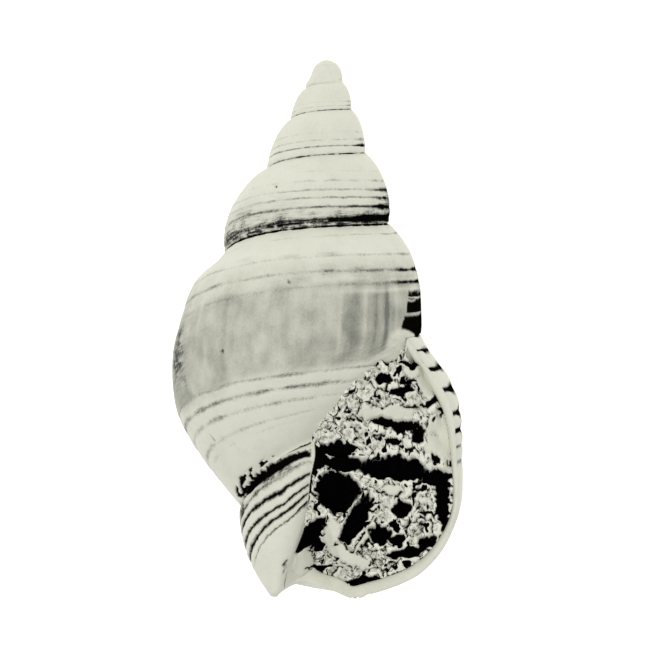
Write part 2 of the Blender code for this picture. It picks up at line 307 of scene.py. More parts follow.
# Each groove has its row at some turns, how dark it is painted at them with soil and painted shade, its
# depth and its half width in mm. The grooves swing across the rows as the shell grows, and at the lip those
# of the side end in notches. The mesh follows them, each at the row that it has at FIT_TURN,
# and it keeps one row below them, where the canal starts, so that the canal's sides meet.
FIT_TURN = -20.0
SIDE_GROOVES = {
    "rows": (0.0, 5.0),
    "kept": [],
    "turns": (-1100, -700, -400, -85, -20, 90, 304),
    "grooves": [
        ((0.70, 0.70, 0.70, 0.65, 0.72, 0.95, 0.75), (0.0, 0.0, 0.10, 0.35, 0.24, 0.20, 0.7), 0.05, 0.22),
        ((1.30, 1.30, 1.30, 1.30, 1.35, 1.50, 1.55), (0.0, 0.0, 0.00, 0.00, 0.05, 0.05, 0.7), 0.05, 0.22),
        ((1.90, 1.90, 1.90, 1.90, 1.97, 2.20, 2.30), (0.0, 0.0, 0.16, 0.28, 0.28, 0.25, 0.9), 0.08, 0.25),
        ((2.50, 2.50, 2.55, 2.55, 2.60, 2.72, 3.05), (0.0, 0.1, 0.26, 0.75, 0.36, 0.32, 0.9), 0.12, 0.25),
        ((3.10, 3.10, 3.10, 2.98, 3.08, 3.30, 3.50), (0.0, 0.2, 0.45, 0.75, 0.30, 0.26, 0.8), 0.12, 0.23),
        ((3.85, 3.75, 3.50, 3.48, 3.60, 3.70, 3.85), (0.2, 0.3, 0.50, 0.00, 0.00, 0.00, 0.3), 0.15, 0.22),
        ((4.45, 4.27, 3.98, 3.95, 4.05, 4.10, 4.20), (0.3, 0.5, 0.70, 0.00, 0.00, 0.00, 0.3), 0.18, 0.22),
        ((4.75, 4.70, 4.62, 4.60, 4.60, 4.60, 4.65), (0.0, 0.0, 0.95, 0.00, 0.00, 0.00, 0.0), 0.20, 0.30),
    ],
}
BASE_GROOVES = {
    "rows": (5.0, 14.0),
    "kept": [13.1],
    "turns": (-56, -20, 90, 304),
    "grooves": [
        ((6.05, 6.10, 5.90, 5.90), (0.34, 0.36, 0.38, 0.20), 0.10, 0.26),
        ((6.60, 6.55, 6.30, 6.30), (0.42, 0.48, 0.50, 0.20), 0.14, 0.28),
        ((7.10, 7.00, 6.70, 6.70), (0.20, 0.34, 0.44, 0.15), 0.12, 0.27),
        ((7.60, 7.55, 7.30, 7.30), (0.10, 0.26, 0.34, 0.10), 0.08, 0.27),
        ((7.90, 7.85, 7.60, 7.60), (0.05, 0.15, 0.22, 0.20), 0.05, 0.24),
        ((11.25, 11.50, 11.40, 11.40), (0.50, 0.50, 0.70, 0.10), 0.20, 0.34),
        ((11.70, 11.89, 11.62, 11.62), (0.90, 1.00, 1.00, 0.10), 0.28, 0.30),
        ((12.02, 12.27, 12.07, 12.07), (0.90, 0.95, 0.90, 0.10), 0.22, 0.24),
        ((12.30, 12.54, 12.57, 12.57), (0.95, 0.95, 0.90, 0.10), 0.22, 0.24),
        ((12.52, 12.80, 12.94, 12.94), (0.90, 0.70, 0.40, 0.05), 0.16, 0.17),
    ],
}
# The deep channel round the tail: turns, and the rows of its upper and of its lower edge.
CHANNEL = ((-56, -40, -28, -5, 10, 40, 74, 104, 304),
           (10.70, 10.66, 10.60, 10.25, 10.00, 9.85, 9.60, 9.55, 10.10),
           (11.08, 11.14, 11.28, 11.34, 11.32, 11.20, 11.00, 10.95, 10.95))
UPPER_LINE_ROW = 10.12
CHANNEL_DEPTH, BEAD_DEPTH, UPPER_LINE_DEPTH = 0.5, 0.22, 0.15
# The seam's own depth, and where the band of painted shade above it runs, in rows.
SEAM_DEPTH, SHADE_BAND_ROW = 0.25, 4.72
# The painted shadow beside the top of the mouth: its upper row, its edge in degrees at some rows, and the
# ridges that cross it and catch the light, each a row, its half width and how much of the shadow it clears.
LIP_SHADOW_TOP = 3.32
LIP_SHADOW_ROWS, LIP_SHADOW_EDGE = (3.3, 4.0, 4.65, 5.0), (-58.0, -55.5, -48.5, -46.0)
LIT_RIDGES = [(3.54, 0.03, 1.0), (3.63, 0.03, 0.8), (4.09, 0.04, 1.0)]
# The broad grey band round the last whorl: its upper and lower rows, and how grey it is.
GREY_TOP, GREY_FOOT, GREY = 3.12, 5.95, 0.46
# The swelling where the lip joins the whorl before it, in mm.
HUMP_RADIUS, HUMP_HEIGHT = 2.5, 0.35
HUMP_SHIFT, HUMP_FLATNESS = (0.5, 0.8, 0.0), (1.0, 1.0, 0.25)
# Narrow bands across the last whorl, where growth paused: turn, half width in degrees, grey.
PAUSES = [(-47, 1.6, -0.20), (-40, 1.7, 0.60), (-33, 1.3, 0.25), (-26.5, 1.0, -0.30),
          (-20, 3.6, 0.28), (-13.5, 1.0, -0.22), (8, 2.5, -0.08), (21, 3.0, 0.08),
          (43, 1.3, 0.16), (52, 3.0, -0.10)]
# Smears of soil and of painted shade: turn, row, half width in degrees, half height in rows, and how thick.
SMEARS = [(80, 4.2, 11, 1.2, 1.15), (71, 5.3, 5, 0.5, 0.8), (68, 2.9, 5, 0.12, 0.5),
          (-306, 4.1, 34, 0.6, 0.70), (-350, 4.3, 40, 0.45, 0.45), (-440, 3.9, 24, 0.9, 1.0),
          (-46, 5.46, 8, 0.12, 0.65), (-28, 5.42, 9, 0.12, 0.40), (40, 5.4, 1.6, 0.5, 0.5),
          (-6, 2.62, 8, 0.20, 0.55), (-30, 3.08, 12, 0.18, 0.5), (-4, 6.05, 14, 0.09, 0.6),
          (0, 11.33, 45, 0.20, 0.9), (72, 11.3, 20, 0.25, 1.1), (14, 1.95, 4, 0.09, 0.6),
          (-8, 1.95, 6, 0.10, 0.6), (8, 2.86, 5, 0.10, 0.6), (40, 1.90, 5, 0.09, 0.4),
          (-24, 2.62, 9, 0.14, 0.6), (-10, 0.75, 6, 0.10, 0.35), (-26, 5.62, 14, 0.25, 0.25),
          (-52, 2.52, 5, 0.10, 0.9), (-38, 13.62, 14, 0.10, 0.8)]
# Small pits, painted dark with soil and shade: turn, row, half width in degrees and half height in rows.
PITS = [(44, 4.72, 0.9, 0.05), (12, 2.93, 0.8, 0.05), (64, 7.25, 0.5, 0.04), (48, 1.25, 0.5, 0.04),
        (130, 4.1, 0.8, 0.06), (-34, 13.53, 10, 0.028), (-28, 13.56, 9, 0.02), (-37, 13.66, 9, 0.025),
        (-326, 2.67, 1.2, 0.05), (188, 6.4, 0.6, 0.05), (243, 2.2, 0.8, 0.06)]
PIT_SOIL_AND_SHADE, PIT_DEPTH = 0.85, 0.25


def groove_rows(table, turn):
    """Where each groove of a table runs at each turn, with the first and the last row."""
    low, high = table["rows"]
    lines = [np.full(turn.shape, low)]
    for n, groove in enumerate(table["grooves"]):
        key = int(10 * low) + 3 * n
        drift = 0.020 * wander(key, turn, 9.0) + 0.012 * wander(key + 1, turn, 3.3)
        lines.append(np.interp(turn, table["turns"], groove[0]) + drift)
    return np.array(lines + [np.full(turn.shape, row) for row in (*table["kept"], high)])


def fit_rows(table):
    """The row by which the mesh knows each groove, with the first and the last row."""
    fit = [np.interp(FIT_TURN, table["turns"], groove[0]) for groove in table["grooves"]]
    return np.array([table["rows"][0], *fit, *table["kept"], table["rows"][1]])


def follow_grooves(table, turn, lines):
    """The rows of mesh lines that run along the grooves: one set of rows for each turn."""
    turn = np.asarray(turn, float)
    anchors, at = fit_rows(table), groove_rows(table, turn)
    low = np.clip(np.searchsorted(anchors, lines, side="right") - 1, 0, len(anchors) - 2)
    share = ((lines - anchors[low]) / (anchors[low + 1] - anchors[low]))[:, None]
    return (at[low] * (1.0 - share) + at[low + 1] * share).T


# The lip: where its notches start, are widest and have faded by, and their depth in mm, with
# the rise of the knobs between them.
NOTCH_START, NOTCH_MIDDLE, NOTCH_FADE, LIP_CALM = 274.0, 286.0, 290.0, 298.0
NOTCH_DEPTH, KNOB_RISE = 0.20, 0.22
NOTCH_SHARE = 0.12
# Stretches of the side, in degrees: the right flank of every whorl, away from the light, where the grooves
# get painted shade, and the lighter grooves round the back of the last whorl and on the left of the one
# before.
SHADED_FLANK = (48.0, 130.0, 20.0)
LIGHTENED_BACK, LIGHTENED_LEFT = (150.0, 268.0, 30.0), (-345.0, -150.0, 50.0)
OPEN_START, OPEN_END, YOUNG_END = -130.0, 270.0, -200.0


def cut_grooves(table, turn, line, lip_share=0.0):
    """Height in mm, and the soil and painted shade, of a table's grooves, with their notches over the edge
    of the lip.
    """
    side = table is SIDE_GROOVES
    height, soil, knob = np.zeros(turn.shape), np.zeros(turn.shape), np.ones(turn.shape)
    at_lip = ease((turn - NOTCH_START) / 12.0) * (1.0 - 0.6 * ease((turn - NOTCH_FADE) / 14.0))
    at_lip = at_lip * np.clip(1.0 - lip_share / NOTCH_SHARE, 0.0, 1.0) * side
    for n, (fit, groove) in enumerate(zip(fit_rows(table)[1:], table["grooves"])):
        soil_and_shade_levels, depth, half_width = groove[1:]
        strength = np.interp(turn, table["turns"], soil_and_shade_levels)
        key = int(table["rows"][1]) * 100 + 2 * n
        uneven = 0.6 * (1.0 - strength) * wander(key, turn, 9.0) + 0.15 * wander(key + 1, turn, 2.5)
        # Painted shade: grooves on the right flank of every whorl, away from the light, are painted darker
        # and cut wider.
        flank_shade = np.interp(fit, (2.5, 3.6), (0.5, 0.9)) * between(-turn % TURN, *SHADED_FLANK)
        flank_shade = flank_shade * (1.0 + 0.5 * wander(key + 1, turn, 4.0)) * side
        lightened = between(turn, *LIGHTENED_BACK) + between(turn, *LIGHTENED_LEFT) * (fit < 3.4)
        strength = strength * (1.0 - 0.5 * lightened * side)
        open_line = (fit < 9.0) * ease((turn - OPEN_START) / 40.0) * ease((OPEN_END - turn) / 20.0)
        wide = half_width / MM_PER_ROW * (1.0 + 0.25 * wander(key + 1, turn, 6.0) + 0.2 * at_lip)
        wide = wide * (1.0 + (0.4 + 1.1 * flank_shade) * ease((YOUNG_END - turn) / 60.0)
                       + 0.9 * near(turn, NOTCH_MIDDLE, 8.0) * side + 0.35 * open_line)
        shape = near(line, fit, wide)
        cut = depth * np.minimum(1.6 * strength, 1.0) + NOTCH_DEPTH * strength * at_lip
        height = height - shape * cut
        soil = np.maximum(soil, shape * strength * np.maximum(1.0 + uneven + flank_shade, 1.35 * at_lip))
        knob = knob * (1.0 - near(line, fit, 2.6 * wide))
    if side:
        height = height + KNOB_RISE * knob * at_lip * ease((line - 0.6) / 0.6) * ease((4.4 - line) / 0.8)
    return height * (1.0 - 0.7 * ease((turn - LIP_CALM) / 6.0)), np.clip(soil, 0.0, 1.0)


def cut_channel(turn, row):
    """Height in mm, and the soil and painted shade, of the deep channel round the tail, with its ragged
    upper edge.
    """
    turns, uppers, lowers = CHANNEL
    upper, lower = np.interp(turn, turns, uppers), np.interp(turn, turns, lowers)
    along, across = 0.15 * turn, 2.2 * row
    ragged = 0.16 * patches(402, along, across, 0.55) + 0.08 * patches(403, along, across, 0.25)
    real = ease((turn - MOUTH_START) / 4.0)
    floor = ease((row - upper - ragged) / 0.14 + 0.5) * ease((lower - row) / 0.10 + 0.5) * real
    crumbs = ease((patches(404, 0.35 * along, across, 0.40) - 0.05) / 0.22)
    beads = between(row, upper - 0.62, upper + 0.1, 0.20) * crumbs * ease((turn + 10.0) / 14.0)
    line_row = UPPER_LINE_ROW + 0.04 * wander(405, turn, 4.0) + 0.003 * (turn + 50.0)
    line = near(row, line_row, 0.085) * ease((4.0 - turn) / 20.0)
    # Painted shade: the channel's floor, the beads along its upper edge and the line above it are painted
    # dark, partly as soil.
    soil = np.max([floor, 0.9 * beads * real, line * real], axis=0)
    return -CHANNEL_DEPTH * floor - BEAD_DEPTH * beads - UPPER_LINE_DEPTH * line * real, soil


def cut_seam(turn, row):
    """Height in mm of the seam between two whorls, and its painted shade: a dark line in the seam and a
    black band above it.
    """
    above = row > 2.5
    seam_turn = np.where(above, turn + 360.0, turn)
    away = np.where(above, SEAM_ROW - row, row)
    real = (seam_turn <= LIP_ANGLE + 0.1) * ease((seam_turn + 1250.0) / 400.0) * (row < 5.01)
    wide = 0.050 * (1.0 + 0.5 * wander(500, seam_turn, 5.0) + 0.4 * wander(501, seam_turn, 1.7))
    gap = near(away, 0.0, np.maximum(wide, 0.015)) * real
    dashes = np.clip(0.70 + 0.8 * wander(502, seam_turn, 6.0), 0.1, 1.0)
    young = ease((seam_turn + 420.0) / 200.0)
    soil = gap * (young + (1.0 - young) * dashes)
    # Painted shade: the band runs on the lower side of the whorl above the seam, which faces away from the
    # light, and is widest and darkest on the right.
    right = ease((-372.0 - turn) / 26.0) * ease((turn + 520.0) / 40.0)
    middle = ease((-300.0 - turn) / 40.0) * ease((turn + 560.0) / 60.0)
    half = 0.045 + 0.20 * right + 0.03 * wander(503, turn, 3.0) + 0.02 * wander(504, turn, 1.3)
    streaks = patches(505, 0.05 * turn, 4.0 * row, 0.5)
    shade_band = near(row, SHADE_BAND_ROW - 0.09 * right, half) * (1.0 + 0.45 * streaks) * middle * (turn < -200.0)
    soil = np.maximum(soil, np.minimum(1.4 * shade_band, 1.0))
    return -SEAM_DEPTH * gap * np.minimum(growth(seam_turn), 1.0), soil


def lip_shadow(turn, row):
    """Painted black shadow on the whorl beside the top of the mouth, cleared off the ridges across it that
    catch the light.
    """
    edge = np.interp(row, LIP_SHADOW_ROWS, LIP_SHADOW_EDGE) + 0.9 * wander(601, row, 0.35)
    shape = ease((edge - turn) / 1.6 + 0.5) * ease((turn + 124.0) / 26.0)
    shape = shape * ease((row - LIP_SHADOW_TOP - 0.04 * wander(602, turn, 2.0)) / 0.10 + 0.5)
    shape = shape * (row < SEAM_ROW + 0.01)
    ridges = sum(share * near(row, middle, half) for middle, half, share in LIT_RIDGES)
    ridges = ridges + 0.25 * ease((3.5 - row) / 0.1) * (1.0 + wander(603, turn, 2.0))
    return shape * np.clip(1.0 - 1.15 * ridges, 0.0, 1.0)


def spots(turn, row, places):
    """The strongest of some soft spots: turn, row, half width, half height and strength."""
    marks = [amount * near(turn, t, wide) * near(row, r, high) for t, r, wide, high, amount in places]
    return np.max(marks, axis=0)


def straight_growth(turn, row):
    """The angle at which the shell's own lines of growth stay straight, across the base too."""
    return turn + inner_lead(turn, row)


def grey_band(turn, row):
    """How grey the broad band round the last whorl is, from 0 to 1."""
    by_mouth = ease((turn + 53.0) / 12.0) + ease((4.9 - row) / 0.3)
    turn = straight_growth(turn, row)
    upper = GREY_TOP - 0.45 * near(turn, -42.0, 30.0)
    upper = upper + 0.10 * wander(520, turn, 16.0) + 0.05 * wander(521, turn, 5.0)
    lower = GREY_FOOT + 0.10 * wander(522, turn, 13.0)
    ends = 1.0 - 0.60 * ease((turn - 95.0) / 90.0)
    soft = 0.50 * ease((row - 1.7) / 1.1) + 0.50 * ease((row - upper) / 0.35 + 0.5)
    soft = soft * ease((lower - row) / 0.45 + 0.5)
    pale_lines = 0.25 * near(row, 2.92, 0.08) + 0.35 * near(row, 3.27, 0.07)
    inside = ease((row - 2.8) / 0.8) * ease((5.7 - row) / 0.4)
    pauses = sum(grey * near(turn, t, half) for t, half, grey in PAUSES)
    pauses = 0.8 * pauses + 0.02 * wander(523, turn, 2.2) + 0.03 * wander(524, turn, 6.0)
    clouds = 0.11 * patches(525, turn / 7.0, row, 1.1) + 0.09 * patches(526, turn / 7.0, row, 0.45)
    early = between(turn, -110.0, -8.0, 24.0)
    grey = GREY * soft * ends + (pauses * inside + clouds) * soft - pale_lines * early
    grey = (grey + 0.14 * early * soft) * np.clip(by_mouth, 0.0, 1.0)
    return np.clip(grey, 0.0, 1.0) * (turn > -130.0)


def hump(points):
    """A clean smooth swelling, from 0 to 1, where the lip joins the whorl before it."""
    middle = outside(np.array([LIP_ANGLE]), np.array([0.3]))[0] - np.array(HUMP_SHIFT)
    away = np.linalg.norm((points - middle) * np.array(HUMP_FLATNESS), axis=-1)
    return ease((HUMP_RADIUS - away) / 0.8 + 0.5)


def carve(table, turn, line, row, swelling=0.0):
    """The relief and the soil and painted shade at each place: its turn, mesh line, row and share of the
    hump.
    """
    size = np.minimum(growth(turn), 1.0)
    height, soil = cut_grooves(table, turn, line)
    smear = spots(turn, row, SMEARS)
    pits = np.minimum(spots(turn, row, [(*pit, PIT_SOIL_AND_SHADE) for pit in PITS]), 1.0)
    last = ease((turn + 150.0) / 60.0)
    ridges = (0.035 * wander(510, turn, 4.3) + 0.03 * wander(511, turn, 1.7)
              + 0.05 * wander(512, turn, 13.0)) * last * ease((7.0 - row) / 1.5)
    height = height * size + ridges * ease(row / 0.6) - PIT_DEPTH * pits
    soil = np.maximum(soil, pits)
    if table is SIDE_GROOVES:
        seam_height, seam_soil_and_shade = cut_seam(turn, row)
        height = height + seam_height
        soil = np.maximum(soil, np.maximum(seam_soil_and_shade, lip_shadow(turn, row)) * (1.0 - swelling))
    else:
        channel_height, channel_soil_and_shade = cut_channel(turn, row)
        height = height + channel_height
        soil = np.maximum(soil, channel_soil_and_shade)
    height = height + HUMP_HEIGHT * swelling - 0.12 * ease((turn - 299.0) / 5.0) * ease((12.0 - row) / 3.0)
    grey = grey_band(turn, row) * (1.0 - swelling)
    # Painted shade: a soft grey film along the seams of the earlier whorls, and a darker one low on the side
    # of the whorl before the last, which faces away from the light.
    near_seam = np.where(row < 2.5, row, np.abs(SEAM_ROW - row))
    smear = np.maximum(smear, 0.25 * near(near_seam, 0.0, 0.30) * (turn < 0.0))
    low_side = between(row, 3.95, 5.2, 0.5) * between(turn, -480.0, -255.0, 30.0)
    smear = np.maximum(smear, low_side * (0.45 + 0.55 * ease((row - 4.0) / 0.7)))
    return {"height": height, "soil": soil, "smear": smear, "grey": grey}


# ---------------------------------------------------------------- modelling by hand
def only(piece):
    """Select one piece and nothing else."""
    bpy.ops.object.select_all(action="DESELECT")
    piece.select_set(True)
    bpy.context.view_layer.objects.active = piece


def edit(piece, *steps):
    """Run steps in edit mode on everything in a piece."""
    only(piece)
    bpy.ops.object.mode_set(mode="EDIT")
    bpy.ops.mesh.select_all(action="SELECT")
    for step in steps:
        step()
    bpy.ops.object.mode_set(mode="OBJECT")


def sheet_of(name, points, marks, growth_map=None):
    """A grid bent over an array of points in mm, with named values at its corners.

    The growth map, where it has one, gives each corner its turn and its row.
    """
    columns, rows = points.shape[:2]
    bpy.ops.object.select_all(action="DESELECT")
    bpy.ops.mesh.primitive_grid_add(x_subdivisions=rows - 1, y_subdivisions=columns - 1,
                                    size=1.0, calc_uvs=False)
    grid = bpy.context.active_object
    grid.name = name
    mesh = grid.data
    mesh.vertices.foreach_set("co", (points.reshape(-1, 3) * MM).ravel())
    for mark, values in marks.items():
        layer = mesh.attributes.new(mark, "FLOAT", "POINT")
        layer.data.foreach_set("value", np.broadcast_to(values, (columns, rows)).ravel())
    if growth_map is not None:
        corner = np.zeros(len(mesh.loops), int)
        mesh.loops.foreach_get("vertex_index", corner)
        turn, row = [np.broadcast_to(part, (columns, rows)).ravel()[corner] for part in growth_map]
        pairs = np.stack([turn / TURN, row / LAST_ROW], axis=-1)
        mesh.uv_layers.new(name="growth").uv.foreach_set("vector", pairs.ravel())
    return grid


def weld(parts, name):
    """Join sheets along the edges that they share, and close what is still open."""
    bpy.ops.object.select_all(action="DESELECT")
    for part in parts:
        part.select_set(True)
    bpy.context.view_layer.objects.active = parts[0]
    bpy.ops.object.join()
    piece = bpy.context.active_object
    piece.name = piece.data.name = name
    edit(piece,
         lambda: bpy.ops.mesh.remove_doubles(threshold=0.004 * MM),
         lambda: bpy.ops.mesh.dissolve_degenerate(threshold=0.002 * MM),
         lambda: bpy.ops.mesh.select_all(action="DESELECT"),
         lambda: bpy.ops.mesh.select_non_manifold(extend=False, use_wire=False, use_verts=False,
                                                  use_multi_face=False, use_non_contiguous=False),
         lambda: bpy.ops.mesh.fill_holes(sides=0),
         lambda: bpy.ops.mesh.select_all(action="DESELECT"),
         lambda: bpy.ops.mesh.select_face_by_sides(number=4, type="GREATER"),
         lambda: bpy.ops.mesh.poke(),
         lambda: bpy.ops.mesh.select_all(action="SELECT"),
         lambda: bpy.ops.mesh.normals_make_consistent(inside=False))
    return piece


def mark_values(piece, mark):
    """What each corner of a piece carries under the name of a mark."""
    values = np.zeros(len(piece.data.vertices))
    piece.data.attributes[mark].data.foreach_get("value", values)
    return values


def corners(piece):
    """The places of a piece's corners, in metres."""
    points = np.zeros(3 * len(piece.data.vertices))
    piece.data.vertices.foreach_get("co", points)
    return points.reshape(-1, 3)


def raise_by(piece, height):
    """Move each corner out along its normal by its height in mm."""
    normals = np.zeros(3 * len(piece.data.vertices))
    piece.data.vertex_normals.foreach_get("vector", normals)
    moved = corners(piece) + normals.reshape(-1, 3) * height[:, None] * MM
    piece.data.vertices.foreach_set("co", moved.ravel())
    piece.data.update()


def thin_out(piece, chosen, triangles):
    """Collapse the flattest of the faces round the chosen corners, down to so many triangles."""
    piece.data.calc_loop_triangles()
    now = len(piece.data.loop_triangles)
    if now <= triangles:
        return
    group = piece.vertex_groups.new(name="thinned")
    group.add(np.flatnonzero(chosen).tolist(), 1.0, "REPLACE")
    thin = piece.modifiers.new("thin out", "DECIMATE")
    thin.ratio = triangles / now
    thin.vertex_group = group.name
    only(piece)
    bpy.ops.object.modifier_apply(modifier=thin.name)
    piece.vertex_groups.remove(piece.vertex_groups["thinned"])


# ---------------------------------------------------------------- the shell
# What each corner of the shell carries: how far it is raised, its soil and painted shade, its film
# of soil and painted shade, its grey, and whether it is on a young whorl, whose faces are thinned out.
SHELL_MARKS = ("height", "soil", "smear", "grey", "young")
COLUMNS = 300
SHELL_TRIANGLES = 195000
THINNED_BEFORE = -420.0
START_SLANT = 36.0
# The tip is a smooth dome: how far its middle is from the apex, and its half sizes.
DOME_MIDDLE = 5.13
DOME_RADIUS, DOME_HEIGHT = 2.03, 2.33


def line_steps(table, stretches):
    """Mesh lines over stretches of (start, end, spacing), with five more along each groove."""
    plain = [stretches[0][0]]
    for start, end, spacing in stretches:
        plain.extend(np.linspace(start, end, max(1, round((end - start) / spacing)) + 1)[1:])
    lines = []
    for fit, groove in zip(fit_rows(table)[1:], table["grooves"]):
        reach = groove[3] / MM_PER_ROW
        lines.extend(fit + reach * np.array([-1.7, -0.8, 0.0, 0.8, 1.7]))
        plain = [line for line in plain if abs(line - fit) > 2.3 * reach]
    return np.array(sorted({*plain, *lines, *table["kept"]}))


SIDE_LINES = line_steps(SIDE_GROOVES, [(0, 0.12, 0.03), (0.12, 3.2, 0.16), (3.2, 4.88, 0.12),
                                       (4.88, 5, 0.03)])
BASE_LINES = line_steps(BASE_GROOVES, [(5, 9.0, 0.2), (9.0, 11.4, 0.08), (11.4, 12.9, 0.15),
                                       (12.9, 13.4, 0.1), (13.4, 13.8, 0.04), (13.8, 14.0, 0.1)])
# The lip in section, from its outer edge: share of the wall's thickness, degrees back.
LIP_PROFILE = np.array([(0.0, 0.0), (0.12, -0.20), (0.24, -0.36), (0.38, -0.44), (0.52, -0.40),
                        (0.66, -0.20), (0.82, 0.35), (0.94, 1.3), (1.0, 3.0), (1.0, 6.0),
                        (1.0, 10.0), (1.0, 18.0), (1.0, 30.0)])
LIP_THICKNESS = np.array([0.6, 0.8, 1.7, 1.6, 1.15, 0.95, 1.0, 1.25, 1.45, 1.5, 1.5, 1.6, 1.9,
                          2.0, 1.2])
PILLAR_DEGREES = np.array([0.0, 0.6, 1.2, 2.0, 3.0, 5.5, 9.0, 14.0, 22.0, 30.0])
# Where the walls of the mouth meet at its top, and where the canal starts at its foot.
TOP_OUTER, TOP_INNER, CANAL_ROW = 0.75, 5.56, 12.7
CANAL_DROP_ROW = 13.5


def canal_floor(row):
    """The bottom of the trough between the lip and the pillar, which drops into the mouth."""
    lip, pillar = outside(LIP_ANGLE, row), outside(MOUTH_START, row)
    sag = 0.15 * ease((LAST_ROW - row) / 0.5) + 1.8 * ease((CANAL_DROP_ROW - row) / 0.4)
    return (lip + pillar) / 2.0 - np.stack([0 * sag, 0 * sag, sag], axis=-1)


def towards_floor(points, row, edge):
    """Blend the lines of a wall into the trough of the canal, below the mouth."""
    share = np.linspace(0.0, 1.0, points.shape[1])[None, :, None]
    floor = canal_floor(row)[:, None, :]
    trough = edge[:, None, :] + (floor - edge[:, None, :]) * share
    blend = ease((row - CANAL_ROW + 0.3) / 0.6)[:, None, None]
    return points * (1.0 - blend) + trough * blend


def lip_lines(rows, profile):
    """Lines of the lip, from its outer edge into the mouth, over (share of wall, degrees back)."""
    row = rows[:, None]
    share, back = profile.T[:, None, :]
    lowered = row + share * TOP_OUTER * np.clip(1.0 - row / CANAL_ROW, 0.0, 1.0)
    return outer_wall(LIP_ANGLE - back, lowered, by_row(LIP_THICKNESS, lowered) * share)


def pillar_lines(rows, degrees):
    """Lines of the pillar side, from the edge of the last whorl into the mouth."""
    row, back = rows[:, None], degrees
    share = ease(back / PILLAR_DEGREES[-1])
    down = (TOP_INNER - SEAM_ROW) * np.clip((CANAL_ROW - row) / (CANAL_ROW - SEAM_ROW), 0.0, 1.0)
    return inner_wall(MOUTH_START - back, row + share * down)


def mouth_sheet(name, points, rows, turn, marks):
    """A wall of the mouth, from the edge that it shares with the outside."""
    edge = outside(np.full(rows.shape, turn), rows)
    points[:, 0] = edge
    points = towards_floor(points, rows, edge)
    zero = np.zeros(points.shape[:2])
    marks = dict.fromkeys(SHELL_MARKS, zero) | marks
    return sheet_of(name, points, marks, (zero + turn, zero + rows[:, None]))


def lip_part(table, lines):
    """Rows, relief and soil of the lip over the part of it that a table of grooves covers."""
    row = follow_grooves(table, np.array([LIP_ANGLE]), lines)[0]
    share, line = np.broadcast_arrays(LIP_PROFILE[None, :, 0], lines[:, None])
    height, soil = cut_grooves(table, np.full(line.shape, LIP_ANGLE), line, share)
    rounded = 0.12 * (1.0 - ease(share / 0.3)) * ease((12.0 - row[:, None]) / 3.0)
    return row, height - rounded, soil


def lip_sheet():
    """The lip, from its rounded outer edge down into the mouth."""
    rows, height, soil = [np.concatenate(pair) for pair in
                          zip(lip_part(SIDE_GROOVES, SIDE_LINES), lip_part(BASE_GROOVES, BASE_LINES[1:]))]
    points = lip_lines(rows, LIP_PROFILE)
    # Painted shade: the wall deep inside the mouth, more than 2 degrees behind the lip, is painted black.
    inner_mouth_shade = ease((LIP_PROFILE[None, :, 1] - 2.0) / 2.5) * ease((CANAL_DROP_ROW - rows[:, None]) / 0.2)
    soil = soil * (LIP_PROFILE[None, :, 0] == 0.0) * ease((5.0 - rows[:, None]) / 0.5)
    marks = {"height": height + HUMP_HEIGHT * hump(points), "grey": 0.06 + 0.0 * inner_mouth_shade,
             "soil": np.maximum(soil, inner_mouth_shade * ease((rows[:, None] - 0.6) / 0.6))}
    return mouth_sheet("lip", points, rows, LIP_ANGLE, marks)


def pillar_sheet():
    """The pillar side of the mouth, from the edge of the last whorl down into it."""
    rows = follow_grooves(BASE_GROOVES, np.array([MOUTH_START]), BASE_LINES)[0]
    line, back = np.broadcast_arrays(BASE_LINES[:, None], PILLAR_DEGREES[None, :])
    marks = carve(BASE_GROOVES, MOUTH_START - 0.0 * back, line, rows[:, None] + 0.0 * back)
    points = pillar_lines(rows, PILLAR_DEGREES[None, :])
    shallow = 1.0 - ease(back / 3.0)
    # Painted shade: the pillar side deep inside the mouth is painted black.
    inner_mouth_shade = ease((back - 1.2) / 1.6) * ease((CANAL_DROP_ROW - line) / 0.2) * ease((line - 5.8) / 0.8)
    marks["height"] = marks["height"] * shallow + HUMP_HEIGHT * hump(points)
    marks["soil"] = np.maximum(marks["soil"] * shallow, inner_mouth_shade)
    return mouth_sheet("pillar", points, rows, MOUTH_START, marks)


def round_tip(points):
    """Press the first whorl onto the dome that it grew from."""
    middle = np.array([0.0, -DOME_MIDDLE, 0.0])
    away = points - middle
    far = np.linalg.norm(away / np.array([DOME_RADIUS, DOME_HEIGHT, DOME_RADIUS]), axis=-1)
    pull = ease((DOME_MIDDLE + 1.0 + points[..., 1]) / 1.6)
    return middle + away * (np.maximum(far, 1e-6) ** -pull)[..., None]


def first_edge(rows):
    """The turn at which each row starts, on the slanting edge where the first whorl begins."""
    return LIP_ANGLE - TURN * TURNS + START_SLANT * (1.0 - rows / SEAM_ROW)


def apex_sheet(first_turn):
    """The rounded tip, over the open end of the first whorl."""
    columns = COLUMNS - round(START_SLANT * COLUMNS / TURN)
    ring_turns = first_turn + START_SLANT + TURN / COLUMNS * np.arange(columns + 1)
    ring = outside(ring_turns, 0.0 * ring_turns)
    rows = follow_grooves(SIDE_GROOVES, ring_turns[:1], SIDE_LINES)[0]
    step = outside(first_edge(rows), rows)
    loop = np.concatenate([ring, step[-2::-1]])
    top = np.array([0.0, loop[:, 1].max() + 0.12, 0.0])
    share = np.linspace(0.0, 1.0, 9)[None, :, None]
    points = loop[:, None, :] * (1.0 - share) + top * share
    zero = np.zeros(points.shape[:2])
    marks = dict.fromkeys(SHELL_MARKS, zero) | {"young": zero + 1.0}
    return sheet_of("apex", round_tip(points), marks, (zero + first_turn, zero))


